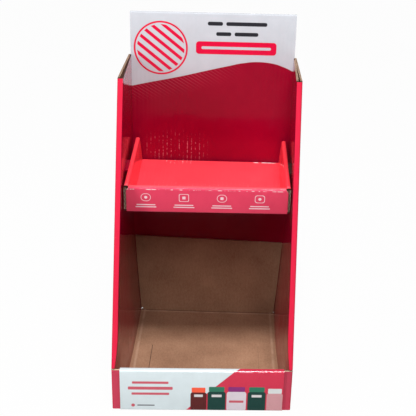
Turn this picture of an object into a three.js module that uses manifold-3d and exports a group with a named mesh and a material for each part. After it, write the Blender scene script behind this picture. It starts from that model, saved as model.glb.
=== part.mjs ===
// Counter display box folded from three sheets of corrugated board: an outer shell with a tall header,
// a loose base sheet that makes the floor and the front lip, and a sloping shelf tray between the walls.
// Millimetres, +Z up, front towards -Y. While it is built, y = 0 is the front face of the back panel.
import * as THREE from "three";
import Module from "manifold-3d";

const wasm = await Module();
wasm.setup();
const { Manifold, CrossSection, Mesh } = wasm;

// The board
const board = 2.8; // thickness of the corrugated board
const crush = 1.4; // thickness left where the board is creased flat
const fold = 2.0; // radius of the middle of the board round a fold
const play = 0.4; // clearance between two sheets

// Outer shell
const width = 258; // over both side walls
const depth = 281; // back panel's front face to the face of the front lip
const wallHeight = 451.5; // raw top edge of the side walls
const headerHeight = 518; // top of the header
const headerInset = 3; // the header's side edges stand in from the walls by this
const headerHem = 66; // how far the header's folded back layer hangs down behind
const wallTopDepth = 136.8; // depth of a side wall at its top
const lipHeight = 68; // top of the front lip
const spineWidth = 8.4; // narrow front edge of a side wall
const spineLift = 2.4; // gap between a front corner flap and the end of the spine
const pinch = 9.6; // how far the inner panels bow in at the foot of the walls
const pinchHeight = 160; // height where that bow ends
const glueFlap = 50; // width of the flap glued behind the back panel
const cornerFlap = 52; // length of the corner flap held inside the front lip
const rack = 0.0184; // the stand is out of square: left side deeper, right side shallower

// Base sheet
const backFlapHeight = 141.3; // kraft flap against the back panel, at the middle
const backFlapSlope = 0.0282; // its cut edge runs down to the right
const lipInset = 12.1; // the lip's ends stand in from the walls by this
const reliefHole = 3.2; // open corner at the left end of the rear crease
const seamInset = 43.5; // scored line of a floor flap, from the wall's outer face
const seamStart = 113; // where the scored line begins, from the back
const seamWidth = 0.7;
const seamDepth = 0.9;

// Shelf tray
const trayInset = 9.6; // the tray's sides stand in from the walls' outer faces by this
const trayDepth = 169.4; // along its slope
const trayFloorAtBack = 279.6; // height of its underside at the back
const trayTilt = 5.5; // degrees, down to the front
const traySide = 41.5; // height of the rolled sides
const trayLip = 40; // height of the rolled front lip
const traySideRoll = 6.6; // width of the top of a rolled side
const traySideFoot = 10.1; // from a rolled side's outer face to the foot of its inner panel
const trayFaceInset = 3.6; // the lip's face leaves the raw ends of the sides bare by this
const hookLength = 34; // tongue on each side that hooks into the wall
const hookMiddle = 101; // its distance from the tray's back edge
const slotAbove = 13; // height of the opening above the tongue

const half = width / 2;
const lipHalf = half - lipInset;
const trayHalf = half - trayInset;
const wallFoot = depth - board - play; // front face of the corner flaps
const spineFoot = lipHeight - 1.5 + spineLift; // lower end of the spine

// Depth of the side wall's front edge at height z.
function wallDepth(z) {
  if (z <= spineFoot) return wallFoot;
  return wallTopDepth + (wallFoot - wallTopDepth) * (wallHeight - z) / (wallHeight - spineFoot);
}

// Distance of the inner panel's face from the middle, at distance d from the back panel and height z.
function innerFace(d, z) {
  const front = half - spineWidth;
  const back = half - board - crush;
  const along = Math.min(Math.max(d / wallDepth(z), 0), 1);
  const low = Math.max(1 - z / pinchHeight, 0) ** 1.15;
  const far = 1 - Math.min(Math.max(d / wallFoot, 0), 1) ** 2.5;
  return back + (front - back) * along - pinch * low * far;
}

// Rounds the inner corners of an open path; radius 0 keeps a corner sharp.
function rounded(points, radius, steps = 4) {
  const out = [points[0]];
  for (let i = 1; i < points.length - 1; i++) {
    const [p, q, r] = [points[i - 1], points[i], points[i + 1]];
    const a = [p[0] - q[0], p[1] - q[1]];
    const b = [r[0] - q[0], r[1] - q[1]];
    const la = Math.hypot(...a);
    const lb = Math.hypot(...b);
    const u = [a[0] / la, a[1] / la];
    const v = [b[0] / lb, b[1] / lb];
    const angle = Math.acos(Math.min(Math.max(u[0] * v[0] + u[1] * v[1], -1), 1));
    if (angle > 3.05) {
      out.push(q);
      continue;
    }
    const reach = Math.min(radius / Math.tan(angle / 2), 0.45 * la, 0.45 * lb);
    const r2 = reach * Math.tan(angle / 2);
    const m = [u[0] + v[0], u[1] + v[1]];
    const lm = Math.hypot(...m);
    const c = [q[0] + m[0] / lm * r2 / Math.sin(angle / 2), q[1] + m[1] / lm * r2 / Math.sin(angle / 2)];
    const from = Math.atan2(q[1] + u[1] * reach - c[1], q[0] + u[0] * reach - c[0]);
    let turn = Math.atan2(q[1] + v[1] * reach - c[1], q[0] + v[0] * reach - c[0]) - from;
    if (turn > Math.PI) turn -= 2 * Math.PI;
    if (turn < -Math.PI) turn += 2 * Math.PI;
    for (let k = 0; k <= steps; k++) {
      const t = from + turn * k / steps;
      out.push([c[0] + r2 * Math.cos(t), c[1] + r2 * Math.sin(t)]);
    }
  }
  out.push(points[points.length - 1]);
  return out;
}

// Both faces of a board whose middle follows the path; thick is a number or one value for each point.
function faces(path, thick = board) {
  const left = [];
  const right = [];
  path.forEach((p, i) => {
    const a = path[Math.max(i - 1, 0)];
    const b = path[Math.min(i + 1, path.length - 1)];
    const u = [p[0] - a[0], p[1] - a[1]];
    const v = [b[0] - p[0], b[1] - p[1]];
    const lu = Math.hypot(...u) || 1;
    const lv = Math.hypot(...v) || 1;
    let n = [-(u[1] / lu + v[1] / lv), u[0] / lu + v[0] / lv];
    const ln = Math.hypot(...n);
    n = [n[0] / ln, n[1] / ln];
    const seg = i === 0 ? [-v[1] / lv, v[0] / lv] : [-u[1] / lu, u[0] / lu];
    const mitre = Math.min(1 / Math.max(n[0] * seg[0] + n[1] * seg[1], 0.5), 1.5);
    const h = (Array.isArray(thick) ? thick[i] : thick) / 2 * mitre;
    left.push([p[0] + n[0] * h, p[1] + n[1] * h]);
    right.push([p[0] - n[0] * h, p[1] - n[1] * h]);
  });
  return [left, right];
}

// A folded board from sections; each section holds the two faces as lists of points of equal length.
function loft(sections) {
  const n = sections[0][0].length;
  const m = sections.length;
  const verts = [];
  for (const [a, b] of sections) {
    for (const p of a) verts.push(...p);
    for (const p of b) verts.push(...p);
  }
  const A = (k, i) => k * 2 * n + i;
  const B = (k, i) => k * 2 * n + n + i;
  const tris = [];
  const quad = (p, q, r, s) => tris.push(p, q, r, p, r, s);
  for (let k = 0; k < m - 1; k++) {
    for (let i = 0; i < n - 1; i++) {
      quad(A(k, i), A(k, i + 1), A(k + 1, i + 1), A(k + 1, i));
      quad(B(k, i + 1), B(k, i), B(k + 1, i), B(k + 1, i + 1));
    }
    quad(B(k, 0), A(k, 0), A(k + 1, 0), B(k + 1, 0));
    quad(A(k, n - 1), B(k, n - 1), B(k + 1, n - 1), A(k + 1, n - 1));
  }
  for (let i = 0; i < n - 1; i++) {
    quad(A(0, i + 1), A(0, i), B(0, i), B(0, i + 1));
    quad(A(m - 1, i), A(m - 1, i + 1), B(m - 1, i + 1), B(m - 1, i));
  }
  let triVerts = new Uint32Array(tris);
  const vertProperties = new Float32Array(verts);
  let volume = 0;
  for (let t = 0; t < triVerts.length; t += 3) {
    const [a, b, c] = [0, 1, 2].map((j) => new THREE.Vector3().fromArray(vertProperties, triVerts[t + j] * 3));
    volume += a.dot(b.cross(c));
  }
  if (volume < 0) triVerts = triVerts.map((v, i) => (i % 3 === 1 ? triVerts[i + 1] : i % 3 === 2 ? triVerts[i - 1] : v));
  return new Manifold(new Mesh({ numProp: 3, vertProperties, triVerts }));
}

const box = (x0, x1, y0, y1, z0, z1) =>
  Manifold.cube([x1 - x0, y1 - y0, z1 - z0]).translate([x0, y0, z0]);
const mirrored = (solid) => solid.mirror([1, 0, 0]);

// A closed outline in y and z, extruded along x.
function alongX(outline, x0, x1) {
  const area = outline.reduce((s, p, i) => {
    const q = outline[(i + 1) % outline.length];
    return s + p[0] * q[1] - q[0] * p[1];
  }, 0);
  const ring = area < 0 ? [...outline].reverse() : outline;
  return Manifold.extrude(new CrossSection([ring]), x1 - x0)
    .transform([0, 1, 0, 0, 0, 0, 1, 0, 1, 0, 0, 0, x0, 0, 0, 1]);
}

// A folded board whose path lies in y and z, between x0 and x1.
function sheetX(path, x0, x1) {
  const [a, b] = faces(path);
  return alongX([...a, ...b.reverse()], x0, x1);
}

// Outer shell
function makeShell() {
  const hh = half - headerInset;
  // The back panel runs up into the header, over its top and down behind in a hem.
  const back = sheetX(rounded([
    [board / 2, 0],
    [board / 2, headerHeight - board / 2],
    [board * 1.5 + 0.8, headerHeight - board / 2],
    [board * 1.5 + 0.8, headerHeight - headerHem],
  ], 1.8, 5), -hh, hh);

  const levels = [0, 0.06, 0.14, 0.24, 0.35, 0.5, 0.65, 0.82, 1].map((s) => spineFoot + s * (wallHeight - spineFoot));

  // Flat outer panel.
  const set = fold + board / 2;
  const outer = alongX([
    [board * 1.6, 0],
    [-(wallFoot - set), 0],
    [-(wallFoot - set), spineFoot],
    [-(wallTopDepth - set), wallHeight],
    [board * 1.6, wallHeight],
  ], -half, -half + board);

  // Flap glued behind the back panel, round the rear corner.
  const rear = rounded([
    [-(half - glueFlap), board * 1.5],
    [-(half - board / 2), board * 1.5],
    [-(half - board / 2), -6],
  ], fold);
  const flap = loft([0, wallHeight].map((z) => faces(rear).map((f) => f.map((p) => [p[0], p[1], z]))))
    .subtract(alongXY([
      [-(half - glueFlap) + 1, wallHeight + 1],
      [-(half - glueFlap) + 1, wallHeight - 24],
      [-half + board, wallHeight - 3],
      [-half + board, wallHeight + 1],
    ], board + 0.001, board * 3))
    .subtract(alongXY([
      [-(half - glueFlap) + 1, -1],
      [-half + board, -1],
      [-half + board, 3],
      [-(half - glueFlap) + 1, 24],
    ], board + 0.001, board * 3));

  // Spine: the narrow front edge between the outer and the inner panel.
  const spine = loft(levels.map((z) => {
    const y = -(wallDepth(z) - board / 2);
    const xi = -(innerFace(wallDepth(z), z) + board / 2);
    const path = rounded([
      [-half + board / 2, y + 9],
      [-half + board / 2, y],
      [xi, y],
      [-(innerFace(wallDepth(z) - 9, z) + board / 2), y + 9],
    ], fold);
    return faces(path).map((f) => f.map((p) => [p[0], p[1], z]));
  }));

  // Inner panel, from the spine back to the back panel, bowed in at its foot.
  const foot = board + play;
  const heights = [
    ...[0, 0.08, 0.2, 0.35, 0.54, 0.76].map((s) => foot + s * (spineFoot - foot)),
    spineFoot - 0.01,
    ...[0, 0.06, 0.09, 0.14, 0.19, 0.24, 0.35, 0.5, 0.65, 0.82, 1].map((s) => spineFoot + s * (wallHeight - spineFoot)),
  ];
  const shares = [0, 0.03, 0.12, 0.24, 0.36, 0.48, 0.6, 0.72, 0.84, 0.93, 0.98, 1];
  const inner = loft(heights.map((z) => {
    const front = wallDepth(z) - (z < spineFoot ? foot : board / 2 + fold);
    const a = [];
    const b = [];
    for (const s of shares) {
      const d = front * (1 - s);
      const x = innerFace(d, z);
      const t = crush + (board - crush) * Math.min(d / 14, 1);
      a.push([-x, -d + (s === 1 ? board / 2 : 0), z]);
      b.push([-(x + t), -d + (s === 1 ? board / 2 : 0), z]);
    }
    return [a, b];
  }));

  // Front corner flap, folded in at the foot of the outer panel and held inside the front lip.
  const turn = rounded([
    [-half + board / 2, -(wallFoot - 10)],
    [-half + board / 2, -(wallFoot - board / 2)],
    [-(half - cornerFlap), -(wallFoot - board / 2)],
  ], fold);
  const top = lipHeight - 1.5;
  const inside = lipHalf + play;
  const corner = loft([0, top].map((z) => faces(turn).map((f) => f.map((p) => [p[0], p[1], z]))))
    .subtract(box(-inside, 0, -depth, 0, -1, board + play))
    .subtract(box(-inside, 0, -depth, 0, lipHeight - board - play, lipHeight));

  let wall = outer.add(flap).add(spine).add(inner).add(corner);

  // Opening in the inner panel for the tray's tongue.
  const slot = trayPlace(box(-half + board + 0.05, -trayHalf + 1, -hookMiddle - hookLength / 2 - 3,
    -hookMiddle + hookLength / 2 + 3, traySide - board - 2, traySide + slotAbove));
  wall = wall.subtract(slot);

  const shell = back.add(wall).add(mirrored(wall));
  return shell.subtract(relief(board * 3));
}

// A closed outline in x and z, extruded along y.
function alongXY(outline, y0, y1) {
  const area = outline.reduce((s, p, i) => {
    const q = outline[(i + 1) % outline.length];
    return s + p[0] * q[1] - q[0] * p[1];
  }, 0);
  const ring = area < 0 ? [...outline].reverse() : outline;
  return Manifold.extrude(new CrossSection([ring]), y1 - y0)
    .transform([1, 0, 0, 0, 0, 0, 1, 0, 0, -1, 0, 0, 0, y1, 0, 1]);
}

// The open corner at the left end of the rear crease, through both sheets.
function relief(through) {
  const x = -(innerFace(0, 5) - reliefHole / 2 - 0.4);
  return Manifold.cylinder(through * 2, reliefHole / 2, reliefHole / 2, 16, true)
    .rotate([90, 0, 0])
    .translate([x, 0, board + reliefHole / 2]);
}

// Base sheet: back flap, floor and front lip.
function makeBase() {
  const yb = -(play + board / 2);
  const yf = -(depth - board / 2);
  const yi = -(depth - board / 2 - 2 * (board + play));
  const lw = lipHalf;
  // The front panel rises from the floor, rolls over the corner flaps and comes down inside.
  const lip = sheetX(rounded([
    [-(depth - 30), board / 2],
    [yf, board / 2],
    [yf, lipHeight - board / 2],
    [yi, lipHeight - board / 2],
    [yi, board / 2 + 0.4],
  ], fold, 5), -lw, lw);
  // The back flap narrows downwards between the bowed walls.
  const tall = backFlapHeight + 6;
  const zs = [0, 0.02, 0.08, 0.17, 0.28, 0.4, 0.54, 0.68, 0.82, 1].map((s) => board / 2 + s * (tall - board / 2));
  const flap = loft(zs.map((z) => {
    const w = innerFace(play + board, z) - play * 1.5;
    const w2 = innerFace(play, z) - play * 1.5;
    return [
      [[-w2, yb + board / 2, z], [w2, yb + board / 2, z]],
      [[-w, yb - board / 2, z], [w, yb - board / 2, z]],
    ];
  })).subtract(alongXY([
    [-half, backFlapHeight + backFlapSlope * half],
    [half, backFlapHeight - backFlapSlope * half],
    [half, tall + 5],
    [-half, tall + 5],
  ], -board * 3, board * 3));
  // The floor reaches out under the feet of the inner panels.
  const fw = half - board - play;
  const floor = box(-fw, fw, -(wallFoot - board - play - 4), yb - board / 2 - play, 0, board)
    .add(box(-lw, lw, -(depth - 20), yb, 0, board));
  const heel = sheetX(rounded([[yb, 12], [yb, board / 2], [-20, board / 2]], fold),
    -(innerFace(play, 12) - play * 1.5 - pinch * 0.12), innerFace(play, 12) - play * 1.5 - pinch * 0.12);
  const under = box(-fw, fw, yb - fold, 1, -1, fold);
  const seam = half - seamInset;
  const groove = box(seam - seamWidth / 2, seam + seamWidth / 2, yi + board, -seamStart,
    board - seamDepth, board + 1);
  return lip.add(flap.subtract(under)).add(floor.subtract(under)).add(heel)
    .subtract(groove).subtract(mirrored(groove))
    .subtract(relief(board * 3));
}

// Puts something built on the tray's own floor into its sloping place.
function trayPlace(solid) {
  return solid.rotate([trayTilt, 0, 0]).translate([0, -play, trayFloorAtBack]);
}

// Shelf tray, built level: its back edge at y = 0, its underside at z = 0.
function makeTray() {
  const tw = trayHalf;
  const fl = trayHalf - traySideFoot;
  const zi = traySide - board / 2;
  const sides = rounded([
    [-(fl + board / 2), board / 2],
    [-(tw - traySideRoll + board / 2), zi],
    [-(tw - board / 2), zi],
    [-(tw - board / 2), board / 2],
    [tw - board / 2, board / 2],
    [tw - board / 2, zi],
    [tw - traySideRoll + board / 2, zi],
    [fl + board / 2, board / 2],
  ], fold, 4);
  const [a, b] = faces(sides);
  const back = -Math.max(traySide * Math.tan(trayTilt * Math.PI / 180), 0) - 0.2;
  const roll = loft([back, -(trayDepth - board - 0.2)].map((y) => [
    a.map((p) => [p[0], y, p[1]]),
    b.map((p) => [p[0], y, p[1]]),
  ]));
  const lw = trayHalf - trayFaceInset;
  const yf = -(trayDepth - board / 2);
  const yi = yf + board * 2 + play * 2;
  const topWidth = tw - traySideRoll - play;
  const face = sheetX(rounded([
    [-(trayDepth - 24), board / 2],
    [yf, board / 2],
    [yf, trayLip - 5],
  ], fold, 4), -lw, lw);
  const rollOver = sheetX(rounded([
    [yf, trayLip - 14],
    [yf, trayLip - board / 2],
    [yi, trayLip - board / 2],
    [yi, board / 2],
  ], fold, 5), -topWidth, topWidth);
  // The part inside the tray is cut back to the leaning side panels.
  const clear = alongXY([
    [-(fl - play), board],
    [-(tw - traySideRoll - play), traySide + 1],
    [-(tw + 5), traySide + 1],
    [-(tw + 5), board],
  ], -(trayDepth - board - 0.3), 0);
  const shoulder = box(-lw, lw, -trayDepth - 1, -(trayDepth - board), trayLip - 5.4, trayLip)
    .intersect(sheetX(rounded([
      [yf, 4],
      [yf, trayLip - board / 2 - 1.6],
    ], fold), -lw, lw));
  const hook = box(-(half - board - play), -(tw - traySideRoll / 2), -hookMiddle - hookLength / 2,
    -hookMiddle + hookLength / 2, traySide - board, traySide);
  const lip = rollOver.subtract(clear).subtract(mirrored(clear));
  const tray = roll.add(face).add(lip).add(shoulder).add(hook).add(mirrored(hook));
  return trayPlace(tray);
}

// The stand is a little out of square; every sheet shares the same skew.
function place(solid, name, colour, shift) {
  const mesh = solid.warp((p) => {
    p[1] *= 1 - rack * p[0] / half;
  }).translate(shift).getMesh();
  const geometry = new THREE.BufferGeometry();
  const count = mesh.numProp;
  const positions = new Float32Array(mesh.vertProperties.length / count * 3);
  for (let i = 0; i < positions.length / 3; i++)
    for (let j = 0; j < 3; j++) positions[i * 3 + j] = mesh.vertProperties[i * count + j];
  geometry.setAttribute("position", new THREE.BufferAttribute(positions, 3));
  geometry.setIndex(new THREE.BufferAttribute(new Uint32Array(mesh.triVerts), 1));
  const flat = geometry.toNonIndexed();
  flat.computeVertexNormals();
  const out = new THREE.Mesh(flat, new THREE.MeshStandardMaterial({ color: colour, roughness: 0.6 }));
  out.name = name;
  return out;
}

const solids = [makeShell(), makeBase(), makeTray()];
const skew = (p) => { p[1] *= 1 - rack * p[0] / half; };
const boxes = solids.map((s) => s.warp(skew).boundingBox());
const lo = [0, 1, 2].map((i) => Math.min(...boxes.map((b) => b.min[i])));
const hi = [0, 1, 2].map((i) => Math.max(...boxes.map((b) => b.max[i])));
const shift = [-(lo[0] + hi[0]) / 2, -(lo[1] + hi[1]) / 2, -lo[2]];

const group = new THREE.Group();
group.name = "counter_display_box";
group.add(place(solids[0], "shell", 0xb01030, shift));
group.add(place(solids[1], "base_sheet", 0xb08a64, shift));
group.add(place(solids[2], "shelf_tray", 0xd8335a, shift));

export default group;
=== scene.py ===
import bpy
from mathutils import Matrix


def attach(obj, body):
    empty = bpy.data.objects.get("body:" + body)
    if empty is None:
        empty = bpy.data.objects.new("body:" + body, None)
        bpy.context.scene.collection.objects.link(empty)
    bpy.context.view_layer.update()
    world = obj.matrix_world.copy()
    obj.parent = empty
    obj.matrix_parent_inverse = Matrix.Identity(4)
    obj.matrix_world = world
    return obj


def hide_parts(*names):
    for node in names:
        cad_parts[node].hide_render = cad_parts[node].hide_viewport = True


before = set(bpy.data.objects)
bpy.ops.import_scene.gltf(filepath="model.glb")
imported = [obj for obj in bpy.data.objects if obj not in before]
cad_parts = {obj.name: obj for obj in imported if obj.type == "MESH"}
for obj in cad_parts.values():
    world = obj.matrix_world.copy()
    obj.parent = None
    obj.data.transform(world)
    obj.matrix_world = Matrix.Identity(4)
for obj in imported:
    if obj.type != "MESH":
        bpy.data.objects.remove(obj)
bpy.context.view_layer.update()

import math

import bmesh
import bpy
from mathutils import Vector

scene = bpy.context.scene

# Camera: a little above and in front, turned slightly, so the floor of the lower bay shows behind the lip.
lens = bpy.data.cameras.new("display_camera")
lens.lens = 74.63
lens.sensor_width = 36.0
camera = bpy.data.objects.new("display_camera", lens)
camera.location = (0.02709, -1.16604, 0.77244)
camera.rotation_euler = (1.155886, -0.017609, 0.030308)
scene.collection.objects.link(camera)
scene.camera = camera

# Studio: a pale floor that keeps the shadow, a white surround, and four soft lamps.
scene.view_settings.view_transform = "Standard"
bpy.ops.object.select_all(action="DESELECT")
bpy.ops.mesh.primitive_plane_add(size=12.0, location=(0.0, 0.0, -0.0004))
floor = bpy.context.object
floor.name = "studio_floor"
floor_paint = bpy.data.materials.new("studio_floor")
floor_paint.use_nodes = True
nodes, links = floor_paint.node_tree.nodes, floor_paint.node_tree.links
nodes.clear()
floor_out = nodes.new("ShaderNodeOutputMaterial")
floor_mix = nodes.new("ShaderNodeMixShader")
floor_matt = nodes.new("ShaderNodeBsdfDiffuse")
floor_glow = nodes.new("ShaderNodeEmission")
floor_glow.inputs["Color"].default_value = (1.0, 1.0, 1.0, 1.0)
floor_path = nodes.new("ShaderNodeLightPath")
floor_share = nodes.new("ShaderNodeMath")
floor_share.operation = "MULTIPLY"
floor_share.inputs[1].default_value = 0.975
links.new(floor_path.outputs["Is Camera Ray"], floor_share.inputs[0])
floor_dim = nodes.new("ShaderNodeMix")
floor_dim.data_type = "RGBA"
floor_dim.inputs[6].default_value = (0.55, 0.55, 0.55, 1.0)
floor_dim.inputs[7].default_value = (0.14, 0.14, 0.14, 1.0)
links.new(floor_path.outputs["Is Glossy Ray"], floor_dim.inputs[0])
links.new(floor_dim.outputs[2], floor_matt.inputs["Color"])
links.new(floor_share.outputs[0], floor_mix.inputs["Fac"])
links.new(floor_matt.outputs[0], floor_mix.inputs[1])
links.new(floor_glow.outputs[0], floor_mix.inputs[2])
links.new(floor_mix.outputs[0], floor_out.inputs["Surface"])
floor.data.materials.append(floor_paint)

surround = bpy.data.worlds.new("surround")
scene.world = surround
surround.use_nodes = True
nodes, links = surround.node_tree.nodes, surround.node_tree.links
nodes.clear()
world_out = nodes.new("ShaderNodeOutputWorld")
world_mix = nodes.new("ShaderNodeMixShader")
world_light = nodes.new("ShaderNodeBackground")
world_light.inputs["Color"].default_value = (1.0, 1.0, 1.0, 1.0)
world_light.inputs["Strength"].default_value = 0.10
world_seen = nodes.new("ShaderNodeBackground")
world_seen.inputs["Color"].default_value = (1.0, 1.0, 1.0, 1.0)
world_seen.inputs["Strength"].default_value = 1.0
world_path = nodes.new("ShaderNodeLightPath")
links.new(world_path.outputs["Is Camera Ray"], world_mix.inputs["Fac"])
links.new(world_light.outputs[0], world_mix.inputs[1])
links.new(world_seen.outputs[0], world_mix.inputs[2])
links.new(world_mix.outputs[0], world_out.inputs["Surface"])


def lamp(name, place, aim, size, power):
    light = bpy.data.lights.new(name, "AREA")
    light.shape = "RECTANGLE"
    light.size, light.size_y = size
    light.energy = power
    stand = bpy.data.objects.new(name, light)
    stand.location = place
    stand.rotation_euler = (Vector(aim) - Vector(place)).to_track_quat("-Z", "Y").to_euler()
    scene.collection.objects.link(stand)


lamp("top_softbox", (0.12, -0.66, 2.1), (0.0, 0.0, 0.2), (0.50, 0.40), 38.0)
lamp("front_fill", (0.15, -1.95, 2.15), (0.0, 0.0, 0.25), (1.2, 0.8), 27.0)
lamp("left_strip", (-1.5, -1.3, 1.0), (0.0, 0.0, 0.3), (0.5, 1.0), 24.0)
lamp("right_strip", (1.7, -0.9, 0.8), (0.0, 0.0, 0.3), (0.5, 1.2), 4.0)

# Outer shell: one sheet of B flute board, gloss laminated over a red and white print. Its side walls are
# double, folded back at a narrow spine, and its back panel runs up into the header and over in a hem.
board = 0.0028
flute_pitch = 0.0065
outer_fold = 0.0024
inner_fold = 0.0011
half_width = 0.129
inner_back = 0.1248
inner_front = 0.1206
bow = 0.0096
bow_top = 0.160
back_y = 0.139585
rear_y = back_y + 2 * board
foot_depth = 0.2778
top_depth = 0.1368
wall_top = 0.4515
header_top = 0.518
header_half = 0.126
header_step = 0.0006
hem_radius = 0.0032
hem_drop = 0.0628
spine_foot = 0.0689
spine_width = 0.0084
spine_pull_top = 0.112
flap_top = 0.0665
floor_gap = 0.0032
rear_flap = 0.050
rear_middle = 0.2257
corner_face = 0.0117
corner_tuck = 0.040
tuck_middle = 0.033
skew = 0.0184
tray_back = back_y - 0.0004
tray_floor = 0.2796
tilt = math.radians(5.5)


def wall_depth(z):
    if z <= spine_foot:
        return foot_depth
    return top_depth + (foot_depth - top_depth) * (wall_top - z) / (wall_top - spine_foot)


def inner_face(d, z):
    along = min(max(d / wall_depth(z), 0.0), 1.0)
    low = max(1.0 - z / bow_top, 0.0) ** 1.15
    far = 1.0 - min(max(d / foot_depth, 0.0), 1.0) ** 2.5
    return inner_back + (inner_front - inner_back) * along - bow * low * far


def choose(piece):
    bpy.ops.object.select_all(action="DESELECT")
    piece.select_set(True)
    bpy.context.view_layer.objects.active = piece


def edit(piece):
    choose(piece)
    bpy.ops.object.mode_set(mode="EDIT")


def done():
    bpy.ops.object.mode_set(mode="OBJECT")


def pick(piece, mode, test, add=False):
    bpy.ops.mesh.select_mode(type=mode)
    if not add:
        bpy.ops.mesh.select_all(action="DESELECT")
    mesh = bmesh.from_edit_mesh(piece.data)
    parts = {"VERT": mesh.verts, "EDGE": mesh.edges, "FACE": mesh.faces}[mode]
    for part in parts:
        points = [part.co] if mode == "VERT" else [v.co for v in part.verts]
        if all(test(p) for p in points):
            part.select_set(True)
    mesh.select_flush_mode()
    bmesh.update_edit_mesh(piece.data)


def extrude(*move):
    bpy.ops.mesh.extrude_region_move(TRANSFORM_OT_translate={"value": move})


def flatten(axis, at):
    size = [1.0, 1.0, 1.0]
    size["xyz".index(axis)] = 0.0
    middle = [0.0, 0.0, 0.0]
    middle["xyz".index(axis)] = at
    bpy.ops.transform.resize(value=size, center_override=middle)


def round_fold(radius, segments=4):
    bpy.ops.mesh.bevel(offset=radius, offset_type="OFFSET", segments=segments, profile=0.5, affect="EDGES")


def apply_all(piece):
    choose(piece)
    for name in [m.name for m in piece.modifiers]:
        bpy.ops.object.modifier_apply(modifier=name)


def near(a, b, slack=0.00005):
    return abs(a - b) < slack


# The left wall starts as a grid for its inner panel, bent to the bow it has near the floor.
levels = [floor_gap, 0.008, 0.016, 0.027, 0.039, 0.052, flap_top, spine_foot, 0.080, 0.092, 0.106, 0.122,
          0.140, bow_top, 0.190, 0.230, 0.280, 0.330, 0.390, wall_top]
shares = [1.0, 0.94, 0.86, 0.76, 0.64, 0.52, 0.40, 0.28, 0.17, 0.09, 0.04, 0.0]
bpy.ops.object.select_all(action="DESELECT")
bpy.ops.mesh.primitive_grid_add(x_subdivisions=len(shares) - 1, y_subdivisions=len(levels) - 1, size=1.0)
shell = bpy.context.object
shell.name = "display_shell"
for v in shell.data.vertices:
    share = shares[round((v.co.x + 0.5) * (len(shares) - 1))]
    z = levels[round((v.co.y + 0.5) * (len(levels) - 1))]
    d = (wall_depth(z) - (floor_gap if z < spine_foot - 1e-5 else 0.0)) * share
    v.co = (-inner_face(d, z), back_y - d, z)

edit(shell)
# Spine, then the outer panel back to the rear corner.
pick(shell, "EDGE", lambda p: p.z > spine_foot - 1e-5 and near(p.y, back_y - wall_depth(p.z)))
extrude(-spine_width, 0.0, 0.0)
flatten("x", -half_width)
notch_depth = 0.006
extrude(0.0, notch_depth, 0.0)
extrude(0.0, foot_depth / 2, 0.0)
flatten("y", rear_y)
# The outer panel goes on down past the end of the spine, and turns in at the front as a corner flap.
pick(shell, "EDGE", lambda p: near(p.z, spine_foot) and near(p.x, -half_width))
extrude(0.0, 0.0, flap_top - spine_foot)
extrude(0.0, 0.0, floor_gap - flap_top)
extrude(0.0, 0.0, -floor_gap)
# A small notch parts the spine from the corner flap below it.
pick(shell, "FACE", lambda p: near(p.x, -half_width) and p.y < back_y - foot_depth + notch_depth + 0.0001
     and flap_top - 0.0005 < p.z < spine_foot + 0.0006)
bpy.ops.mesh.delete(type="FACE")
# A flap with slanting ends turns in behind the back panel from the whole rear edge.
pick(shell, "EDGE", lambda p: near(p.x, -half_width) and near(p.y, rear_y))
extrude(rear_flap, 0.0, 0.0)
bpy.ops.transform.resize(value=(1.0, 1.0, 0.894), center_override=(0.0, 0.0, rear_middle))
pick(shell, "EDGE", lambda p: near(p.x, -half_width) and near(p.y, back_y - foot_depth)
     and p.z < flap_top + 0.0005)
extrude(corner_face, 0.0, 0.0)
pick(shell, "EDGE", lambda p: near(p.x, -half_width + corner_face) and near(p.y, back_y - foot_depth)
     and p.z > floor_gap - 0.0002)
extrude(corner_tuck, 0.0, 0.0)
bpy.ops.transform.resize(value=(1.0, 1.0, 0.94), center_override=(0.0, 0.0, tuck_middle))
# The folds are rounded over the board.
above = spine_foot - 0.0001
pick(shell, "EDGE", lambda p: near(p.y, back_y - wall_depth(p.z)) and p.z > above
     and near(p.x, -inner_face(wall_depth(p.z), p.z)))
round_fold(inner_fold, 3)
pick(shell, "EDGE", lambda p: near(p.x, -half_width) and near(p.y, back_y - wall_depth(p.z))
     and p.z < flap_top + 0.0005)
pick(shell, "EDGE", lambda p: near(p.x, -half_width) and near(p.y, back_y - wall_depth(p.z)) and p.z > above,
     add=True)
pick(shell, "EDGE", lambda p: near(p.x, -half_width) and near(p.y, rear_y), add=True)
round_fold(outer_fold)
done()

bpy.ops.object.modifier_add(type="MIRROR")
shell.modifiers[-1].use_mirror_merge = False
apply_all(shell)

# The back panel joins the two inner panels, and runs up into the header, over the top and down behind.
edit(shell)
pick(shell, "EDGE", lambda p: near(p.y, back_y) and near(abs(p.x), inner_face(0.0, p.z)))
bpy.ops.mesh.bridge_edge_loops()
pick(shell, "EDGE", lambda p: near(p.y, back_y) and near(p.z, wall_top))
extrude(0.0, 0.0, header_step)
bpy.ops.transform.resize(value=(header_half / inner_back, 1.0, 1.0), center_override=(0.0, 0.0, 0.0))
extrude(0.0, 0.0, header_top - hem_radius - wall_top - header_step)
turns = 6
for turn in range(turns):
    a, b = math.pi * turn / turns, math.pi * (turn + 1) / turns
    extrude(0.0, hem_radius * (math.cos(a) - math.cos(b)), hem_radius * (math.sin(b) - math.sin(a)))
extrude(0.0, 0.0, -hem_drop)
done()

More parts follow.
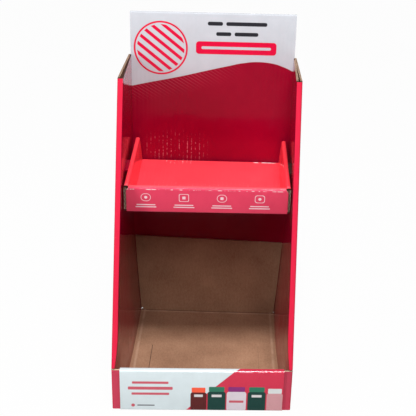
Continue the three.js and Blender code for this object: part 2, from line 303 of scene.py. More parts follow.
# The sheet's own coordinates: across the unfolded sheet, and up. Spines and outer panels, the flaps behind
# and the rear faces each get a range of their own, so that the prints on them stay apart.
sheet_map = shell.data.uv_layers.new(name="sheet")
for face in shell.data.polygons:
    middle = face.center
    side = 1.0 if middle.x > 0.0 else -1.0
    inward = face.normal.x * side
    deep = back_y - middle.y
    on_inner = deep > 0.001 and inward < -0.6
    for loop in face.loop_indices:
        p = shell.data.vertices[shell.data.loops[loop].vertex_index].co
        d = back_y - p.y
        if inward > 0.5:
            s = side * (0.95 - d)
        elif on_inner:
            s = side * (inner_back + d)
        elif deep > 0.02:
            s = side * (0.52 + abs(p.x))
        elif face.normal.y > 0.3 and deep < 0.0 and middle.z < wall_top:
            s = p.x + side * 1.0
        else:
            s = p.x
        sheet_map.data[loop].uv = (s, p.z + (1.0 if face.normal.y > 0.3 else 0.0))

# Board thickness; the inner panels are pressed thin where they turn into the back panel.
printed, liner, raw, shaded = range(4)
pressed_length = 0.014
pressed = shell.vertex_groups.new(name="board")
for v in shell.data.vertices:
    d = back_y - v.co.y
    at_panel = abs(abs(v.co.x) - inner_face(d, v.co.z) + 0.0005) < 0.0010
    at_corner = at_panel and v.co.z < wall_top + 0.0005 and -0.0002 < d < pressed_length
    full = min(max(d / pressed_length, 0.0), 1.0)
    pressed.add([v.index], 0.5 + 0.5 * full if at_corner else 1.0, "REPLACE")


def thicken(piece, group=""):
    bpy.ops.object.modifier_add(type="SOLIDIFY")
    thick = piece.modifiers[-1]
    thick.thickness = board
    thick.offset = -1.0
    thick.vertex_group = group
    thick.use_even_offset = True
    thick.material_offset = liner
    thick.material_offset_rim = raw


thicken(shell, "board")


def cut(piece, cutters):
    # Removes the places of the cutters from the board; the new faces are raw board, and in a slit painted
    # dark for the shade inside it.
    for cutter in cutters:
        for mat in piece.data.materials:
            cutter.data.materials.append(mat)
        for face in cutter.data.polygons:
            face.material_index = shaded if "slit" in cutter.name else raw
        mod = piece.modifiers.new("cut", "BOOLEAN")
        mod.operation = "DIFFERENCE"
        mod.solver = "EXACT"
        mod.object = cutter
        choose(piece)
        bpy.ops.object.modifier_apply(modifier=mod.name)
        bpy.data.objects.remove(cutter)


def drill(name):
    # A cutter for one of the small round holes in the rear left corner.
    hole_radius, height = 0.0016, 0.00465
    bpy.ops.object.select_all(action="DESELECT")
    place = (0.002 - inner_face(0.0, 0.005), back_y, height)
    bpy.ops.mesh.primitive_cylinder_add(vertices=20, radius=hole_radius, depth=0.03, location=place,
                                        rotation=(math.radians(90.0), 0.0, 0.0))
    bpy.context.object.name = name
    return bpy.context.object


run_length = 5 * flute_pitch


def flute_run():
    # Five flutes of the board as seen on a cut edge: a wavy medium between two liners.
    swing, rise, sunk = 0.00092, 0.0009, 0.0001
    medium, cover, cover_y = 0.00030, 0.00028, 0.00118
    bpy.ops.object.select_all(action="DESELECT")
    bpy.ops.mesh.primitive_grid_add(x_subdivisions=60, y_subdivisions=1, size=1.0)
    wave = bpy.context.object
    wave.name = "flute_run"
    for v in wave.data.vertices:
        along = (v.co.x + 0.5) * run_length
        v.co = (along, swing * math.sin(2.0 * math.pi * along / flute_pitch), rise * (v.co.y + 0.5) - sunk)
    bpy.ops.object.modifier_add(type="SOLIDIFY")
    wave.modifiers[-1].thickness = medium
    wave.modifiers[-1].offset = 0.0
    apply_all(wave)
    edit(wave)
    for y in (-cover_y, cover_y):
        centre = (run_length / 2, y, rise / 2 - sunk)
        bpy.ops.mesh.select_all(action="DESELECT")
        bpy.ops.mesh.primitive_cube_add(size=1.0, location=centre)
        bpy.ops.transform.resize(value=(run_length, cover, rise), center_override=centre)
    done()
    return wave


def lay_flutes(piece, wave, runs):
    # Copies of the run laid end to end on the cut edges, each from one point to another, then joined on.
    copies = []
    for start, end, up in runs:
        start, end, up = Vector(start), Vector(end), Vector(up)
        way = (end - start).normalized()
        across = up.cross(way).normalized()
        count = max(1, round((end - start).length / run_length))
        stretch = (end - start).length / (count * run_length)
        for n in range(count):
            run = wave.copy()
            run.data = wave.data.copy()
            scene.collection.objects.link(run)
            for v in run.data.vertices:
                q = v.co.copy()
                v.co = start + way * (q.x + n * run_length) * stretch + across * q.y + up.normalized() * q.z
            run.data.materials.clear()
            for mat in piece.data.materials:
                run.data.materials.append(mat)
            for face in run.data.polygons:
                face.material_index = raw
            copies.append(run)
    choose(piece)
    for run in copies:
        run.select_set(True)
    bpy.ops.object.join()


def settle(piece):
    # The stand is slightly out of square: its depth shrinks towards the right. Rounded folds look smooth.
    for v in piece.data.vertices:
        v.co.y = back_y + (v.co.y - back_y) * (1.0 - skew * v.co.x / half_width)
    choose(piece)
    bpy.ops.object.shade_smooth_by_angle(angle=math.radians(20.0))


def in_tray(y, z):
    # Where a place of the level tray comes to lie once it slopes down to the front.
    c, s = math.cos(tilt), math.sin(tilt)
    return tray_back + y * c - z * s, tray_floor + y * s + z * c


def feed(tree, made, key, value):
    if isinstance(value, bpy.types.NodeSocket):
        tree.links.new(value, made.inputs[key])
    else:
        made.inputs[key].default_value = value


def node(tree, kind, **values):
    made = tree.nodes.new(kind)
    for name, value in values.items():
        if name in ("operation", "uv_map"):
            setattr(made, name, value)
        else:
            feed(tree, made, name.replace("_", " "), value)
    return made


def calc(tree, operation, *values):
    made = node(tree, "ShaderNodeMath", operation=operation)
    for key, value in enumerate(values):
        feed(tree, made, key, value)
    return made.outputs[0]


def times(tree, first, *others):
    for other in others:
        first = calc(tree, "MULTIPLY", first, other)
    return first


def apart(tree, a, b):
    return calc(tree, "ABSOLUTE", calc(tree, "SUBTRACT", a, b))


def ramp(tree, value, low, high, start=0.0, end=1.0):
    made = node(tree, "ShaderNodeMapRange", Value=value, From_Min=low, From_Max=high,
                To_Min=start, To_Max=end)
    return made.outputs[0]


def noise(tree, at, scale, detail, roughness=0.5):
    made = node(tree, "ShaderNodeTexNoise", Vector=at, Scale=scale, Detail=detail, Roughness=roughness)
    return made.outputs[0]


def stripes(tree, u, pitch):
    return calc(tree, "SINE", times(tree, u, 2.0 * math.pi / pitch))


def mix(tree, share, a, b):
    made = tree.nodes.new("ShaderNodeMix")
    made.data_type = "RGBA"
    for key, value in ((0, share), (6, a), (7, b)):
        feed(tree, made, key, value)
    return made.outputs[2]


def bar(tree, u, v, cu, cv, hu, hv, corner, soft=0.0003):
    # 1 inside a rounded bar of the sheet, 0 outside
    au = calc(tree, "MAXIMUM", calc(tree, "SUBTRACT", apart(tree, u, cu), hu - corner), 0.0)
    av = calc(tree, "MAXIMUM", calc(tree, "SUBTRACT", apart(tree, v, cv), hv - corner), 0.0)
    far = calc(tree, "SQRT", calc(tree, "ADD", times(tree, au, au), times(tree, av, av)))
    return ramp(tree, far, corner - soft, corner + soft, 1.0, 0.0)


def worn_line(tree, v, at, place, half, least):
    # broken line of wear along a fold: 1 where the film has gone
    wide = ramp(tree, apart(tree, v, place), half * 0.5, half, 1.0, 0.0)
    return times(tree, wide, ramp(tree, noise(tree, at, 150.0, 3.0), least, least + 0.08))


def rib_glints(tree, u, at, low, high):
    # small painted glints where the ribs of the board stand out
    rib = ramp(tree, stripes(tree, u, flute_pitch), low, high)
    return times(tree, rib, ramp(tree, noise(tree, at, 260.0, 3.0), 0.50, 0.62))


def blank(name):
    mat = bpy.data.materials.new(name)
    mat.use_nodes = True
    mat.node_tree.nodes.clear()
    return mat, mat.node_tree


def coat(mat, colour, roughness, specular, height, strength):
    tree = mat.node_tree
    bump = node(tree, "ShaderNodeBump", Strength=strength, Distance=1.0, Height=height)
    skin = node(tree, "ShaderNodeBsdfPrincipled", Base_Color=colour, Roughness=roughness,
                Specular_IOR_Level=specular, Normal=bump.outputs[0])
    node(tree, "ShaderNodeOutputMaterial", Surface=skin.outputs[0])
    return mat


def laminate(name, paint):
    # Gloss film over print on board: paint(tree, u, v, at) gives the ink, the flutes show as low ridges.
    mat, tree = blank(name)
    place = node(tree, "ShaderNodeUVMap", uv_map="sheet")
    split = node(tree, "ShaderNodeSeparateXYZ", Vector=place.outputs[0])
    u, v = split.outputs[0], split.outputs[1]
    at = node(tree, "ShaderNodeTexCoord").outputs["Object"]
    ink = paint(tree, u, v, at)
    mottle = noise(tree, at, 55.0, 4.0, 0.55)
    shade = node(tree, "ShaderNodeHueSaturation", Color=ink, Value=ramp(tree, mottle, 0.35, 0.7, 0.97, 1.02))
    ridge = times(tree, stripes(tree, u, flute_pitch), times(tree, noise(tree, at, 9.0, 2.0), 0.00005))
    grain = times(tree, noise(tree, at, 420.0, 3.0), 0.000015)
    sway = times(tree, noise(tree, at, 14.0, 2.0), 0.0012)
    height = calc(tree, "ADD", ridge, calc(tree, "ADD", grain, sway))
    gloss = ramp(tree, mottle, 0.3, 0.75, 0.10, 0.20)
    return coat(mat, shade.outputs[0], gloss, 0.34, height, 1.0)


def kraft(name, deep, pale, creases=None):
    # Unbleached liner: long pale fibres, soft mottling and the flutes just showing.
    mat, tree = blank(name)
    at = node(tree, "ShaderNodeTexCoord").outputs["Object"]
    long_way = node(tree, "ShaderNodeMapping", Vector=at, Scale=(520.0, 230.0, 230.0))
    fibre = noise(tree, long_way.outputs[0], 1.0, 5.0, 0.7)
    cloud = noise(tree, at, 24.0, 4.0)
    split = node(tree, "ShaderNodeSeparateXYZ", Vector=at)
    ridge = stripes(tree, split.outputs[0], flute_pitch)
    share = calc(tree, "ADD", times(tree, fibre, 0.55),
                 calc(tree, "ADD", times(tree, cloud, 0.45), times(tree, ridge, 0.008)))
    tone = mix(tree, ramp(tree, share, 0.3, 0.7), deep, pale)
    if creases:
        tone = creases(tree, tone, at)
    height = calc(tree, "ADD", times(tree, fibre, 0.00006), times(tree, ridge, 0.000006))
    return coat(mat, tone, 0.78, 0.20, height, 0.8)


# The one red print is painted in tones for the light: darker inside for the shade of the recess, brighter on
# the spines.
shaded_inner_red = (0.26, 0.0004, 0.0165, 1.0)
white_ink = (0.455, 0.47, 0.505, 1.0)
bright_red = (0.60, 0.004, 0.040, 1.0)
lit_outer_red = (0.58, 0.015, 0.047, 1.0)
lit_flap_red = (0.49, 0.045, 0.084, 1.0)
# The white print as painted in the shade of the inner side walls.
shaded_wall_white = (0.52, 0.22, 0.28, 1.0)
glint = (0.50, 0.10, 0.14, 1.0)
dark_ink = (0.02, 0.02, 0.025, 1.0)
torn_liner = (0.42, 0.24, 0.15, 1.0)


def shell_print(tree, u, v, at):
    # A white field lies over the red, with a curved lower edge given by places across and up the sheet.
    reach, low, span = 0.27, 0.39, 0.08
    spots = [(-0.263, 0.446), (-0.19, 0.4215), (-0.125, 0.4025), (-0.096, 0.4090),
             (-0.05, 0.4189), (-0.011, 0.4286), (0.027, 0.4378), (0.050, 0.4428), (0.070, 0.4447),
             (0.089, 0.4434), (0.109, 0.438), (0.1248, 0.4308), (0.145, 0.4430), (0.165, 0.4560),
             (0.263, 0.4660)]
    places = [((s + reach) / (2 * reach), (z - low) / span) for s, z in spots]
    share = calc(tree, "DIVIDE", calc(tree, "ADD", u, reach), 2 * reach)
    curve = node(tree, "ShaderNodeFloatCurve", Value=share)
    line = curve.mapping.curves[0]
    line.points[0].location = places[0]
    line.points[1].location = places[-1]
    for across, up in places[1:-1]:
        line.points.new(across, up)
    for spot in line.points:
        at_corner = abs(abs(spot.location[0] * 2 * reach - reach) - 0.125) < 0.002
        spot.handle_type = "VECTOR" if at_corner else "AUTO_CLAMPED"
    curve.mapping.update()
    edge = calc(tree, "ADD", times(tree, curve.outputs[0], span), low)
    above = ramp(tree, calc(tree, "SUBTRACT", v, edge), -0.0004, 0.0004)
    off = calc(tree, "ABSOLUTE", u)
    inside = calc(tree, "LESS_THAN", off, reach)
    outside = calc(tree, "GREATER_THAN", off, 0.45)
    # Painted light: the inner faces get the red darkened for shade, the spines and outer faces the red
    # brightened for light.
    ground = mix(tree, outside, shaded_inner_red, lit_outer_red)
    # The corner flaps at the foot are painted a duller pink than the folded spine above them: the same red,
    # toned for the light on them.
    on_flap = times(tree, calc(tree, "LESS_THAN", v, 0.0668), calc(tree, "LESS_THAN", off, 0.6505), outside)
    ground = mix(tree, on_flap, ground, lit_flap_red)
    # On the inner side walls the white is painted a darker pink, for the shade there.
    pale = mix(tree, calc(tree, "GREATER_THAN", off, 0.1262), white_ink, shaded_wall_white)
    ink = mix(tree, times(tree, above, inside), ground, pale)
    # A ringed field of slanting stripes, a rounded bar with a pale rule in it, and two broken dark rules.
    disc, ring_out, ring_in = [bar(tree, u, v, -0.0795, 0.4630, r, r, r) for r in (0.0365, 0.0415, 0.0388)]
    ring = calc(tree, "SUBTRACT", ring_out, ring_in)
    slant = calc(tree, "ADD", times(tree, u, 0.8), v)
    stripe = ramp(tree, stripes(tree, slant, 0.0150), 0.10, 0.34)
    ink = mix(tree, calc(tree, "MAXIMUM", ring, times(tree, disc, stripe)), ink, bright_red)
    ink = mix(tree, bar(tree, u, v, 0.036, 0.465, 0.0615, 0.0098, 0.005), ink, bright_red)
    for cu, cv, hu, hv, tone in ((0.036, 0.465, 0.0530, 0.0021, white_ink),
                                 (0.0035, 0.5020, 0.0115, 0.0029, dark_ink),
                                 (0.0510, 0.5020, 0.0310, 0.0029, dark_ink),
                                 (0.0165, 0.4865, 0.0115, 0.0029, dark_ink),
                                 (0.0510, 0.4865, 0.0180, 0.0029, dark_ink)):
        ink = mix(tree, bar(tree, u, v, cu, cv, hu, hv, hv * 0.9), ink, tone)
    # Painted glints lie on the ribs above the tray, and the liner is torn in flecks on the right wall, just
    # below it.
    area = bar(tree, u, v, -0.055, 0.301, 0.045, 0.020, 0.018, 0.012)
    ink = mix(tree, times(tree, rib_glints(tree, u, at, 0.55, 0.95), area, 0.9), ink, glint)
    torn = ramp(tree, noise(tree, at, 330.0, 4.0), 0.53, 0.57)
    area = bar(tree, u, v, 0.2900, 0.266, 0.026, 0.013, 0.010, 0.006)
    ink = mix(tree, times(tree, torn, area), ink, torn_liner)
    # Faint slanting streaks of painted sheen run down from the left half of the white field's edge.
    sheen_streaks = ramp(tree, stripes(tree, calc(tree, "ADD", times(tree, u, 0.62), v), 0.0052), 0.2, 1.0, 0.0, 0.26)
    band = ramp(tree, calc(tree, "SUBTRACT", edge, v), 0.004, 0.030, 1.0, 0.0)
    below = calc(tree, "SUBTRACT", 1.0, above)
    on_back = calc(tree, "LESS_THAN", off, 0.1245)
    left_half = ramp(tree, u, -0.02, 0.05, 1.0, 0.0)
    return mix(tree, times(tree, sheen_streaks, band, below, on_back, left_half), ink, glint)


shell_film = laminate("shell_laminate", shell_print)
kraft_liner = kraft("kraft_liner", (0.27, 0.128, 0.070, 1.0), (0.44, 0.235, 0.135, 1.0))
raw_edge = kraft("raw_board_edge", (0.34, 0.22, 0.15, 1.0), (0.64, 0.46, 0.34, 1.0))
# A near-black kraft, painted on cut wall tops, slits and the tray's cut ends for the shade in their hollows.
hollow_shade = kraft("flute_hollow_shade", (0.026, 0.009, 0.007, 1.0), (0.066, 0.026, 0.019, 1.0))
for mat in (shell_film, kraft_liner, raw_edge, hollow_shade):
    shell.data.materials.append(mat)
apply_all(shell)
# The lower end of each spine is drawn in towards the outer panel.
pull_low, pull_middle, pull_reach = 0.045, 0.0675, 0.020
for v in shell.data.vertices:
    behind = wall_depth(v.co.z) - (back_y - v.co.y)
    above_foot = pull_middle < v.co.z < spine_pull_top and 0.118 < abs(v.co.x) < half_width
    below_foot = pull_low < v.co.z <= pull_middle and 0.118 < abs(v.co.x) < 0.1245 and behind > 0.0030
    if behind < pull_reach and (above_foot or below_foot):
        pull = min(((spine_pull_top - v.co.z) / 0.043) ** 1.6, 1.0) * (1.0 - max(behind, 0.0) / pull_reach)
        pull *= min((v.co.z - pull_low) / 0.0234, 1.0)
        v.co.x += math.copysign((half_width - abs(v.co.x)) * 0.40 * pull, v.co.x)
# A small hole beside the back panel, and the slots that hold the tongues of the tray.
openings = [drill("wall_hole")]
tongue_y = -0.101
slot_x, slot_width, slot_length, slot_foot = 0.12227, 0.00775, 0.040, 0.0367
for side, tall in ((-1.0, 0.0056), (1.0, 0.0178)):
    bpy.ops.object.select_all(action="DESELECT")
    bpy.ops.mesh.primitive_cube_add(size=1.0)
    slot = bpy.context.object
    slot.name = "tongue_slit"
    for v in slot.data.vertices:
        y, z = in_tray(tongue_y + slot_length * v.co.y, slot_foot + tall * (v.co.z + 0.5))
        v.co = (side * (slot_x + slot_width * v.co.x), y, z)
    openings.append(slot)
cut(shell, openings)
# The cut tops of the walls are painted dark for the shade between the flutes.
for face in shell.data.polygons:
    if face.normal.z > 0.9 and near(face.center.z, wall_top, 0.0003) and face.material_index == raw:
        face.material_index = shaded
# The flutes show along the top edges of both outer panels and of the right inner panel.
wave = flute_run()
outer_x = half_width - board / 2
run_depth = 0.131
runs = []
for side in (-1.0, 1.0):
    runs.append(((side * outer_x, back_y + 0.001, wall_top), (side * outer_x, back_y - run_depth, wall_top),
                 (0, 0, 1)))
runs.append(((inner_face(pressed_length, wall_top) + board / 2, back_y - 0.012, wall_top),
             (inner_face(run_depth, wall_top) + board / 2, back_y - run_depth, wall_top), (0, 0, 1)))
lay_flutes(shell, wave, runs)
settle(shell)
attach(shell, "root")
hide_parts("shell")

# Base sheet: back flap, floor and front lip in one board, brown on the inside, printed on the outside.
# The lip rolls over the corner flaps and is tucked down inside; the floor's rear corner has a small hole.
base_depth = 0.281
floor_half = 0.1258
slit_x = 0.0855
lip_half = 0.1169
lip_height = 0.068
lip_roll = 0.0092
lip_tuck = 0.0648
flap_gap = 0.0004
wall_gap = 0.0006
flap_foot = 0.11455
flap_height = 0.1413
flap_slope = 0.0282


def level_sheet(name, columns, rows, back):
    # The level part of a sheet, lying printed side down, with its vertices at the given columns and rows.
    bpy.ops.object.select_all(action="DESELECT")
    bpy.ops.mesh.primitive_grid_add(x_subdivisions=len(columns) - 1, y_subdivisions=len(rows) - 1, size=1.0)
    sheet = bpy.context.object
    sheet.name = name
    for v in sheet.data.vertices:
        x = columns[round((v.co.x + 0.5) * (len(columns) - 1))]
        d = rows[round((0.5 - v.co.y) * (len(rows) - 1))]
        v.co = (x, back - d, 0.0)
    edit(sheet)
    bpy.ops.mesh.select_all(action="SELECT")
    bpy.ops.mesh.flip_normals()
    return sheet


def widen(share):
    bpy.ops.transform.resize(value=(share, 1.0, 1.0), center_override=(0.0, 0.0, 0.0))


columns = [-floor_half, -lip_half, -slit_x, -0.045, 0.0, 0.045, slit_x, lip_half, floor_half]
rows = [0.0034, 0.030, 0.075, 0.113, 0.165, 0.220, 0.2700]
base = level_sheet("display_base", columns, rows, back_y)
pick(base, "EDGE", lambda p: near(p.y, back_y - rows[-1]) and abs(p.x) < lip_half + 1e-5)
extrude(0.0, rows[-1] - base_depth, 0.0)
extrude(0.0, 0.0, lip_height)
extrude(0.0, lip_roll, 0.0)
extrude(0.0, 0.0, -lip_tuck)
bpy.ops.mesh.select_all(action="DESELECT")
for d, z in ((base_depth, 0.0), (base_depth, lip_height), (base_depth - lip_roll, lip_height)):
    pick(base, "EDGE", lambda p: near(p.y, back_y - d) and near(p.z, z), add=True)
round_fold(0.0028)
# The back flap rises from the rear crease and widens between the bowed walls to a slightly sloping edge.
pick(base, "EDGE", lambda p: near(p.y, back_y - rows[0]) and abs(p.x) < lip_half + 1e-5)
extrude(0.0, rows[0] - flap_gap, 0.0)
widen(flap_foot / lip_half)
last_half, last_z = flap_foot, 0.0
for z in (0.003, 0.010, 0.022, 0.036, 0.052, 0.070, 0.090, 0.112, flap_height):
    half = inner_face(flap_gap + board, z) - wall_gap
    extrude(0.0, 0.0, z - last_z)
    widen(half / last_half)
    last_half, last_z = half, z
pick(base, "EDGE", lambda p: near(p.y, back_y - flap_gap) and near(p.z, 0.0))
round_fold(0.0022, 3)
done()
for v in base.data.vertices:
    if near(v.co.z, flap_height):
        v.co.z -= flap_slope * v.co.x
# The sheet's own coordinates: across, and along from the rear crease over the floor and the lip.
base_map = base.data.uv_layers.new(name="sheet")
for face in base.data.polygons:
    for loop in face.loop_indices:
        p = base.data.vertices[base.data.loops[loop].vertex_index].co
        d = back_y - p.y
        if p.z > 0.0675 and d > 0.2:
            along = base_depth + lip_height + (base_depth - d)
        elif near(d, base_depth - lip_roll, 0.0002) and p.z > 0.001:
            along = base_depth + lip_height + lip_roll + (lip_height - p.z)
        elif d > 0.2785:
            along = base_depth + p.z
        elif d < 0.003 and p.z > 0.0001:
            along = -p.z
        else:
            along = d
        base_map.data[loop].uv = (p.x, along)

lip_red = (0.54, 0.034, 0.070, 1.0)
lip_white = (0.58, 0.65, 0.67, 1.0)
lip_rubbed = (0.56, 0.22, 0.28, 1.0)
soft_red = (0.52, 0.10, 0.13, 1.0)
soft_pale = (0.60, 0.58, 0.58, 1.0)
soft_grey = (0.16, 0.17, 0.18, 1.0)
brown, orange = (0.10, 0.018, 0.018, 1.0), (0.80, 0.10, 0.05, 1.0)
dark_green, leaf_green = (0.012, 0.050, 0.042, 1.0), (0.03, 0.16, 0.10, 1.0)
lilac, plum = (0.62, 0.55, 0.60, 1.0), (0.22, 0.03, 0.16, 1.0)
rose, pale_grey = (0.55, 0.28, 0.30, 1.0), (0.60, 0.62, 0.62, 1.0)


def base_print(tree, u, v, at):
    # White runs down the left part of the lip to a slanting edge; the right part, floor and flap are red.
    up = calc(tree, "SUBTRACT", v, base_depth)
    edge = calc(tree, "SUBTRACT", times(tree, up, 1.04), 0.0238)
    left = ramp(tree, calc(tree, "SUBTRACT", edge, u), -0.0003, 0.0003)
    on_lip = times(tree, calc(tree, "GREATER_THAN", up, 0.0), calc(tree, "LESS_THAN", up, 0.5))
    ink = mix(tree, times(tree, left, on_lip), lip_red, lip_white)
    # Five plain upright blocks of colour with lighter caps.
    for cu, hu, top, body, cap in ((-0.0045, 0.0115, 0.0395, brown, orange),
                                   (0.0215, 0.0130, 0.0410, dark_green, leaf_green),
                                   (0.0500, 0.0140, 0.0410, lilac, plum),
                                   (0.0790, 0.0130, 0.0410, dark_green, leaf_green),
                                   (0.1050, 0.0115, 0.0385, rose, pale_grey)):
        ink = mix(tree, bar(tree, u, up, cu, top * 0.41, hu, top * 0.41, 0.004), ink, body)
        ink = mix(tree, bar(tree, u, up, cu, top - 0.0035, hu * 0.86, 0.0042, 0.0016), ink, cap)
    # Three soft red bars, a dot and a grey rule on the white, and small bars on four of the blocks.
    for cu, cv, hu, hv, corner, tone in ((-0.0735, 0.0480, 0.0260, 0.0020, 0.0010, soft_red),
                                         (-0.0735, 0.0385, 0.0320, 0.0026, 0.0013, soft_red),
                                         (-0.0735, 0.0290, 0.0270, 0.0020, 0.0010, soft_red),
                                         (-0.0985, 0.0090, 0.0027, 0.0027, 0.0027, soft_red),
                                         (-0.0800, 0.0090, 0.0125, 0.0011, 0.0008, soft_grey),
                                         (-0.0045, 0.0262, 0.0062, 0.0021, 0.0006, soft_pale),
                                         (0.0215, 0.0262, 0.0072, 0.0021, 0.0006, soft_pale),
                                         (0.0790, 0.0262, 0.0072, 0.0021, 0.0006, soft_pale),
                                         (0.0500, 0.0165, 0.0105, 0.0020, 0.0010, soft_red)):
        ink = mix(tree, bar(tree, u, up, cu, cv, hu, hv, corner), ink, tone)
    # The red film is rubbed pale along the front fold, but not near its right end.
    on_red = times(tree, calc(tree, "SUBTRACT", 1.0, left), calc(tree, "LESS_THAN", u, 0.088))
    return mix(tree, times(tree, worn_line(tree, up, at, 0.0664, 0.0006, 0.45), on_red), ink, lip_rubbed)


def floor_painted_light(tree, tone, at):
    # Painted shade and light: the rear fold is a dark shadow line with a pale highlight behind it, and a band
    # of light runs along each side.
    place = node(tree, "ShaderNodeUVMap", uv_map="sheet")
    split = node(tree, "ShaderNodeSeparateXYZ", Vector=place.outputs[0])
    u, v = calc(tree, "ABSOLUTE", split.outputs[0]), split.outputs[1]
    rough = ramp(tree, noise(tree, at, 60.0, 3.0), 0.35, 0.65, 0.35)
    shadow = bar(tree, u, v, 0.0, 0.0046, 0.2, 0.0013, 0.0010, 0.0008)
    pale = bar(tree, u, v, 0.0, 0.0080, 0.2, 0.0016, 0.0012, 0.0012)
    sides = bar(tree, u, v, 0.1085, 0.135, 0.0016, 0.135, 0.0014, 0.0012)
    tone = mix(tree, times(tree, shadow, 0.55), tone, (0.05, 0.025, 0.015, 1.0))
    share = calc(tree, "MAXIMUM", pale, times(tree, sides, 0.8))
    return mix(tree, times(tree, share, rough, 0.55), tone, (0.62, 0.42, 0.30, 1.0))


floor_liner = kraft("floor_kraft", (0.245, 0.128, 0.075, 1.0), (0.41, 0.235, 0.144, 1.0), floor_painted_light)
for mat in (laminate("base_laminate", base_print), floor_liner, raw_edge, hollow_shade):
    base.data.materials.append(mat)
thicken(base)
apply_all(base)
# A small hole in the rear corner, and a slit through the liner along each side of the floor.
openings = [drill("floor_hole")]
slit_middle, slit_length, slit_height = 0.1905, 0.153, 0.0024
for side, width in ((-1.0, 0.0008), (1.0, 0.00018)):
    bpy.ops.object.select_all(action="DESELECT")
    bpy.ops.mesh.primitive_cube_add(size=1.0)
    crease = bpy.context.object
    crease.name = "floor_slit"
    for v in crease.data.vertices:
        v.co.x = side * slit_x + width * v.co.x
        v.co.y = back_y - slit_middle + slit_length * v.co.y
        v.co.z = 0.0031 + slit_height * v.co.z
    openings.append(crease)
cut(base, openings)
settle(base)
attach(base, "root")
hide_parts("base_sheet")

# Shelf tray: one red board, laminated on both faces. Its sides and front are folded up and rolled inwards.
# Tongues on its sides hold it in slots of the walls, and it slopes down towards the front.
tray_half = 0.1194
side_height = 0.0415
side_roll = 0.0066
side_lean = 0.0035
side_tuck = 0.0385
tray_depth = 0.1664
front_out = 0.0030
front_y = -tray_depth - front_out
front_low = 0.0352
front_height = 0.0400
front_tuck = 0.0370
front_halves = (0.1158, 0.1124, 0.1089)
wide, narrow = front_halves[0], front_halves[2]
columns = [-tray_half, -wide, -narrow, -0.05, 0.0, 0.05, narrow, wide, tray_half]
rows = [0.0042, 0.05, 0.084, 0.118, tray_depth]
tray = level_sheet("display_shelf_tray", columns, rows, 0.0)
for side in (-1.0, 1.0):
    pick(tray, "EDGE", lambda p: near(p.x, side * tray_half) and near(p.z, 0.0))
    extrude(0.0, 0.0, side_height)
    extrude(-side * side_roll, 0.0, 0.0)
    extrude(-side * side_lean, 0.0, -side_tuck)
pick(tray, "EDGE", lambda p: near(p.y, -tray_depth) and near(p.z, 0.0)
     and abs(p.x) < front_halves[0] + 0.0001)
extrude(0.0, -front_out, 0.0)
extrude(0.0, 0.0, front_low)
extrude(0.0, 0.0, front_height - front_low)
widen(front_halves[1] / front_halves[0])
extrude(0.0, lip_roll, 0.0)
extrude(0.0, 0.0, -front_tuck)
widen(front_halves[2] / front_halves[1])
bpy.ops.mesh.select_all(action="DESELECT")
for side in (-1.0, 1.0):
    for x, z in ((tray_half, 0.0), (tray_half, side_height), (tray_half - side_roll, side_height)):
        pick(tray, "EDGE", lambda p: near(p.x, side * x) and near(p.z, z), add=True)
for y, z in ((front_y, 0.0), (front_y, front_height), (front_y + lip_roll, front_height)):
    pick(tray, "EDGE", lambda p: near(p.y, y) and near(p.z, z), add=True)
round_fold(0.0024)
# Two tongues, each a strip of the same board standing out from the top of a side.
for side in (-1.0, 1.0):
    middle = (side * 0.1221, tongue_y, 0.0413)
    bpy.ops.mesh.select_all(action="DESELECT")
    bpy.ops.mesh.primitive_plane_add(size=1.0, location=middle)
    bpy.ops.transform.resize(value=(0.0072, 0.034, 1.0), center_override=middle)
done()
# The sheet's own coordinates: across, and along the floor; the front face lies one metre further on.
tray_map = tray.data.uv_layers.new(name="sheet")
for face in tray.data.polygons:
    for loop in face.loop_indices:
        p = tray.data.vertices[tray.data.loops[loop].vertex_index].co
        if p.y < -0.1675:
            uv = (p.x, p.z + 1.0)
        elif abs(face.normal.x) > 0.7:
            uv = (p.y, p.z)
        else:
            uv = (p.x, p.y)
        tray_map.data[loop].uv = uv

tray_red = (0.92, 0.044, 0.066, 1.0)
roll_highlight_red = (0.90, 0.085, 0.115, 1.0)
tray_rubbed = (0.85, 0.72, 0.74, 1.0)
front_glint = (0.95, 0.24, 0.27, 1.0)
rear_highlight = (0.85, 0.45, 0.48, 1.0)
lip_pink = (0.68, 0.047, 0.102, 1.0)
lip_line = (0.80, 0.66, 0.68, 1.0)
mark_white = (0.80, 0.62, 0.66, 1.0)


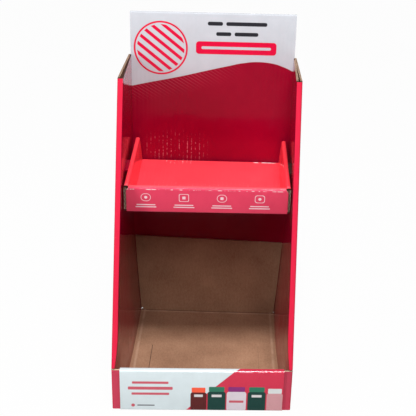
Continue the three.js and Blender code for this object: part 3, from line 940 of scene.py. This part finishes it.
def tray_print(tree, u, v, at):
    # The front roll and the floor just behind it are painted a paler red, a highlight for the light on the
    # roll. The floor's rear fold is rubbed in one place.
    ink = mix(tree, calc(tree, "LESS_THAN", v, -0.1600), tray_red, roll_highlight_red)
    rubbed = times(tree, worn_line(tree, v, at, -0.0052, 0.0016, 0.46),
                   bar(tree, u, v, 0.0870, -0.0052, 0.0170, 0.004, 0.003, 0.002))
    ink = mix(tree, rubbed, ink, tray_rubbed)
    # Painted glints stand out on the ribs of the front half of the floor, and a painted highlight in a patch
    # on its rear fold.
    rib_glint = rib_glints(tree, u, at, 0.2, 0.9)
    front = bar(tree, u, v, -0.010, -0.118, 0.085, 0.030, 0.025, 0.016)
    rear = bar(tree, u, v, -0.052, -0.006, 0.022, 0.007, 0.006, 0.005)
    ink = mix(tree, times(tree, front, 0.30, rib_glint), ink, front_glint)
    ink = mix(tree, times(tree, rear, 0.70, rib_glint), ink, rear_highlight)
    # Four plain outline marks stand in a row on the front face, each over two short rules.
    face = mix(tree, calc(tree, "GREATER_THAN", v, 0.9), ink, lip_pink)
    up = calc(tree, "SUBTRACT", v, 1.0)
    for cu, corner, dot_corner in ((-0.0878, 0.0072, 0.0022), (-0.0332, 0.0022, 0.0004),
                                   (0.0212, 0.0072, 0.0010), (0.0755, 0.0036, 0.0022)):
        ring = calc(tree, "SUBTRACT", bar(tree, u, up, cu, 0.0245, 0.0072, 0.0062, min(corner, 0.0061)),
                    bar(tree, u, up, cu, 0.0245, 0.0064, 0.0054, min(corner, 0.0053)))
        dot = bar(tree, u, up, cu, 0.0245, 0.0022, 0.0022, dot_corner)
        upper = bar(tree, u, up, cu, 0.0125, 0.0135, 0.0008, 0.0006)
        lower = bar(tree, u, up, cu, 0.0090, 0.0150, 0.0008, 0.0006)
        for mark in (ring, dot, upper, lower):
            face = mix(tree, times(tree, mark, 0.85), face, mark_white)
    return mix(tree, worn_line(tree, up, at, 0.0372, 0.0006, 0.51), face, lip_line)


for mat in (laminate("tray_laminate", tray_print), laminate("tray_inner_laminate", tray_print), raw_edge):
    tray.data.materials.append(mat)
thicken(tray)
apply_all(tray)
# The cut ends of the sides are painted dark for the shade in their hollows; the right tongue is painted dark
# for the shadow it lies in, the left one in the wall's red.
tray.data.materials.append(hollow_shade)
tray.data.materials.append(shell_film)
wall_red = 4
for face in tray.data.polygons:
    middle = face.center
    if face.normal.y < -0.9 and near(middle.y, -tray_depth, 0.0003) and face.material_index == raw:
        face.material_index = shaded
    if abs(middle.x) > tray_half + 0.0003 and abs(middle.y - tongue_y) < 0.018:
        face.material_index = shaded if middle.x > 0.0 else wall_red
side_x = tray_half - board / 2
runs = []
for side in (-1.0, 1.0):
    runs.append(((side * side_x, -tray_depth, 0.0035), (side * side_x, -tray_depth, 0.0380), (0, -1, 0)))
lay_flutes(tray, wave, runs)
bpy.data.objects.remove(wave)
for v in tray.data.vertices:
    v.co.y, v.co.z = in_tray(v.co.y, v.co.z)
settle(tray)
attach(tray, "root")
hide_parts("shelf_tray")
